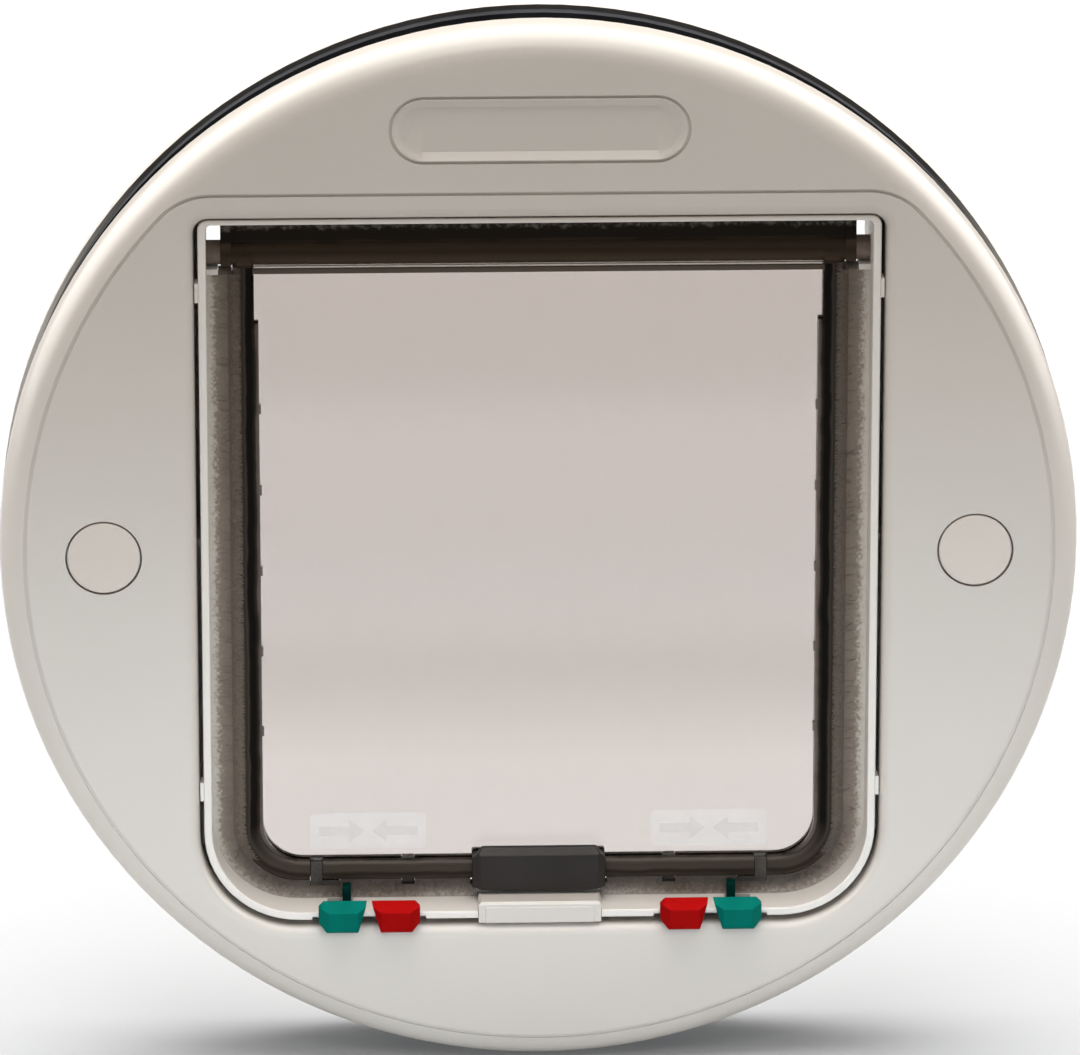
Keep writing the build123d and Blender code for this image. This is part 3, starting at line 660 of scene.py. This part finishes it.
def add_fibre(verts, faces, points, thick, tx, tz):
    """Adds a tapered hair through three points, with its sides round Y and (tx, tz)."""
    start = len(verts)
    for (px, py, pz), taper in zip(points, FIBRE_TAPER):
        for corner in range(FIBRE_SIDES):
            angle = 2 * math.pi * corner / FIBRE_SIDES
            a, b = thick * taper * math.cos(angle), thick * taper * math.sin(angle)
            verts.append((px + tx * a, py + b, pz + tz * a))
    for low in range(start, len(verts) - FIBRE_SIDES, FIBRE_SIDES):
        for corner in range(FIBRE_SIDES):
            after = (corner + 1) % FIBRE_SIDES
            high = low + FIBRE_SIDES
            faces.append((low + corner, low + after, high + after, high + corner))
    faces.append(tuple(range(len(verts) - FIBRE_SIDES, len(verts))))
    faces.append(tuple(reversed(range(start, start + FIBRE_SIDES))))


def lapping_course(dice, reach):
    """A fibre that laps over the front of the flap's rim: how far from the wall, and its depth.

    Past the edge it keeps clear of the rim's rounded flank, the more so the further it reaches.
    """
    lift = dice.uniform(0.0, 0.45) * MM
    over = dice.uniform(0.45, 1.0)
    course = [(reach - 1.2 * MM, BRUSH_HALF_WIDE),
              (reach + 0.5 * MM * over, (2.35 + 0.65 * over) * MM + lift),
              (reach + 2.2 * MM * over, (2.75 + 1.05 * over) * MM + lift)]
    return [(along, FLAP_Y - ahead) for along, ahead in course]


def standing_course(dice, reach):
    """A fibre that ends short of the flap's edge: how far from the wall, and its depth."""
    sway = dice.gauss(-0.1, 0.3)
    root = dice.uniform(0.25, 0.8)
    depth = FLAP_Y + dice.uniform(-1.0, 1.0) * BRUSH_HALF_WIDE
    length = reach * (dice.uniform(0.85, 0.985) - root)
    front, back = FLAP_Y - BRUSH_HALF_WIDE - FLARE, FLAP_Y + BRUSH_HALF_WIDE
    course = [(reach * root + length * part, depth + sway * length * bend) for part, bend in BENDS]
    return [(along, max(front, min(back, y))) for along, y in course]


def wall_fibre(dice, path):
    """A fibre from the wall or sill: its points, its thickness and the way the strip runs."""
    t = dice.random() * (len(path) - 1.001)
    here, there = path[int(t)], path[int(t) + 1]
    mix = t - int(t)
    x, z, nx, nz, reach = [a + (b - a) * mix for a, b in zip(here, there)]
    tx, tz = -nz, nx
    thick = dice.uniform(*FIBRE_THICK) * MM
    lean = dice.gauss(0.0, 0.4)
    if z > LAPPING_FOOT and dice.random() < LAPPING:
        course = lapping_course(dice, reach)
    else:
        course = standing_course(dice, reach)
    slide = lean * (course[-1][0] - course[0][0])
    points = [(x + nx * along + tx * slide * bend, y,
               min(PILE_CEILING, z + nz * along + tz * slide * bend))
              for (along, y), (part, bend) in zip(course, BENDS)]
    return points, thick, tx, tz


def crown_fibre(dice, side):
    """A fibre on the strip's top end, under the bar: its points and its thickness."""
    x = dice.uniform(FLAP_HALF + 0.2 * MM, RAIL_HALF + 0.5 * MM)
    y = FLAP_Y + dice.uniform(-1.0, 1.0) * BRUSH_HALF_WIDE
    rise = dice.uniform(0.7, 1.8) * MM
    lean = dice.gauss(0.0, 0.3)
    inner, outer = FLAP_HALF + 0.15 * MM, RAIL_HALF + 0.6 * MM
    points = [(side * min(outer, max(inner, x + lean * rise * bend)), y,
               BRUSH_TOP - CROWN_ROOT + (rise + CROWN_ROOT) * part) for part, bend in BENDS]
    return points, dice.uniform(*FIBRE_THICK) * MM


def pile(side, side_name, look):
    """A pile strip: a dense core, and loose fibres that lean and splay towards the flap."""
    dice = random.Random(PILE_SEED + side)
    path = pile_path(side)
    verts, faces = pile_core(path)
    for count in range(PILE_FIBRES):
        points, thick, tx, tz = wall_fibre(dice, path)
        if not any(kept_free(px, pz) for px, py, pz in points):
            add_fibre(verts, faces, points, thick, tx, tz)
    for count in range(CROWN_FIBRES):
        points, thick = crown_fibre(dice, side)
        add_fibre(verts, faces, points, thick, 1.0, 0.0)

    mesh = bpy.data.meshes.new(f"pile_{side_name}")
    mesh.from_pydata(verts, [], faces)
    mesh.materials.append(look.material)
    obj = bpy.data.objects.new(f"pile_{side_name}", mesh)
    bpy.context.scene.collection.objects.link(obj)
    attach(obj, "frame")
    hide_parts(f"brush_{side_name}")
    return obj


def grey_pile():
    """Grey pile on a pale backing at the wall, with painted shade that turns it brown and darker towards
    the flap.
    """
    look = Look("pile_grey")
    x, y, z = look.axes()
    strands = look.noise(1300.0, detail=4.0)
    ragged = look.span(strands, NOISE_LOW, NOISE_HIGH, -0.8 * MM, 0.8 * MM)
    tuft = look.math("ADD", look.math("MULTIPLY", inside_flap(look), -1.0), ragged)
    # Painted shade: the pile darkens to brown towards the flap
    sides = look.ramp(look.span(tuft, -2.5 * MM, 6.5 * MM), [
        (0.0, (0.22, 0.175, 0.135)), (0.24, (0.18, 0.138, 0.104)), (0.36, (0.13, 0.098, 0.072)),
        (0.5, (0.145, 0.11, 0.082)), (0.68, (0.18, 0.14, 0.106)), (0.77, (0.24, 0.196, 0.153)),
        (0.9, (0.5, 0.445, 0.38)), (1.0, (0.56, 0.51, 0.45))])
    # Over the sill, painted shade darkens the pile towards the flap's foot
    foot = look.ramp(look.span(tuft, -1.0 * MM, 5.0 * MM), [
        (0.0, (0.05, 0.036, 0.026)), (0.45, (0.075, 0.056, 0.041)), (0.75, (0.15, 0.116, 0.09)),
        (1.0, (0.33, 0.28, 0.235))])
    over_sill = look.span(z, FLAP_BOTTOM + FLAP_CORNER, FLAP_BOTTOM)
    look.set(Base_Color=look.blend(over_sill, sides, foot), Sheen_Weight=0.2,
             Roughness=look.span(strands, NOISE_LOW, NOISE_HIGH, 0.6, 0.85))
    return look


pile_grey = grey_pile()
for side, side_name in SIDES:
    pile(side, side_name, pile_grey)


# Studio: a pale floor under the part, a broad light overhead and weak ones round it

FLOOR_HALF = 12.0
FLOOR_Z = cad_box[0][2] - 0.5 * MM
WORLD_COLOUR = (1.0, 0.98, 0.95, 1)
WORLD_STRENGTH = 0.1


def pale_floor():
    """A plain floor that the part stands on."""
    mesh = bpy.data.meshes.new("floor")
    corners = ((-1, -1), (1, -1), (1, 1), (-1, 1))
    mesh.from_pydata([(x * FLOOR_HALF, y * FLOOR_HALF, FLOOR_Z) for x, y in corners], [], [(0, 1, 2, 3)])
    look = Look("floor_white")
    look.set(Base_Color=look.mottle(0.6, (0.345, 0.345, 0.345), (0.36, 0.36, 0.36)),
             Roughness=0.9, Specular_IOR_Level=0.1)
    mesh.materials.append(look.material)
    obj = bpy.data.objects.new("floor", mesh)
    bpy.context.scene.collection.objects.link(obj)
    return obj


def area_light(name, at, aim, size, power, colour=(1, 1, 1), spread=180.0):
    """A soft light, wide and tall, that faces a point."""
    data = bpy.data.lights.new(name, "AREA")
    data.shape = "RECTANGLE"
    data.size, data.size_y = size
    data.energy = power
    data.color = colour
    data.spread = math.radians(spread)
    obj = bpy.data.objects.new(name, data)
    obj.location = at
    obj.rotation_euler = (Vector(aim) - Vector(at)).to_track_quat("-Z", "Y").to_euler()
    obj.visible_camera = False
    bpy.context.scene.collection.objects.link(obj)
    return obj


floor = pale_floor()
CENTRE = (0.0, 0.0, 0.0)
area_light("overhead", at=(0.0, 0.05, 2.6), aim=CENTRE, size=(2.6, 2.6), power=107.0)
area_light("front_box", at=(0.0, -1.5, 1.7), aim=CENTRE, size=(1.4, 0.8), power=11.0)
area_light("backdrop", at=(0.0, 1.4, 2.2), aim=(0.0, 1.4, 0.0), size=(2.4, 1.2), power=18.0,
           spread=100.0)
card = area_light("table_card", at=(0.0, -0.3, FLOOR_Z + 0.05), aim=(0.0, 0.0, FLOOR_Z + 0.04),
                  size=(0.5, 0.08), power=0.205, colour=(0.75, 0.88, 1.0), spread=75.0)
card.visible_glossy = False
for side, side_name in SIDES:
    area_light(f"{side_name}_panel", at=(side * 1.5, 0.25, 1.2), aim=(0.0, 0.05, 0.0),
               size=(1.3, 1.3), power=10.0)

    # Seen only in the gloss of the part, along its rim
    sheen = area_light(f"{side_name}_sheen", at=(side * 1.9, 0.5, 1.2), aim=CENTRE,
                       size=(2.8, 2.8), power=130.0)
    sheen.visible_diffuse = False
    sheen.visible_transmission = False

# A wash on the floor alone, past the part, that keeps its contact shadow pale
wash = area_light("floor_wash", at=(0.0, 0.6, 2.4), aim=(0.0, 0.6, 0.0), size=(3.0, 3.0), power=82.0)
wash.visible_glossy = False
floor_only = bpy.data.collections.new("floor_only")
floor_only.objects.link(floor)
wash.light_linking.receiver_collection = floor_only
wash.light_linking.blocker_collection = floor_only

# A faint even light from all round
world = bpy.data.worlds.new("studio")
world.use_nodes = True
background = world.node_tree.nodes["Background"]
background.inputs["Color"].default_value = WORLD_COLOUR
background.inputs["Strength"].default_value = WORLD_STRENGTH
bpy.context.scene.world = world
bpy.context.scene.view_settings.view_transform = "Standard"

# The photograph's view
lens = bpy.data.cameras.new("photo_view")
lens.lens = CAMERA_LENS
lens.sensor_width = CAMERA_SENSOR
lens.clip_end = CAMERA_FAR
camera = bpy.data.objects.new("photo_view", lens)
camera.location = CAMERA_AT
camera.rotation_euler = Vector(CAMERA_AIM).to_track_quat("-Z", "Y").to_euler()
bpy.context.scene.collection.objects.link(camera)
bpy.context.scene.camera = camera
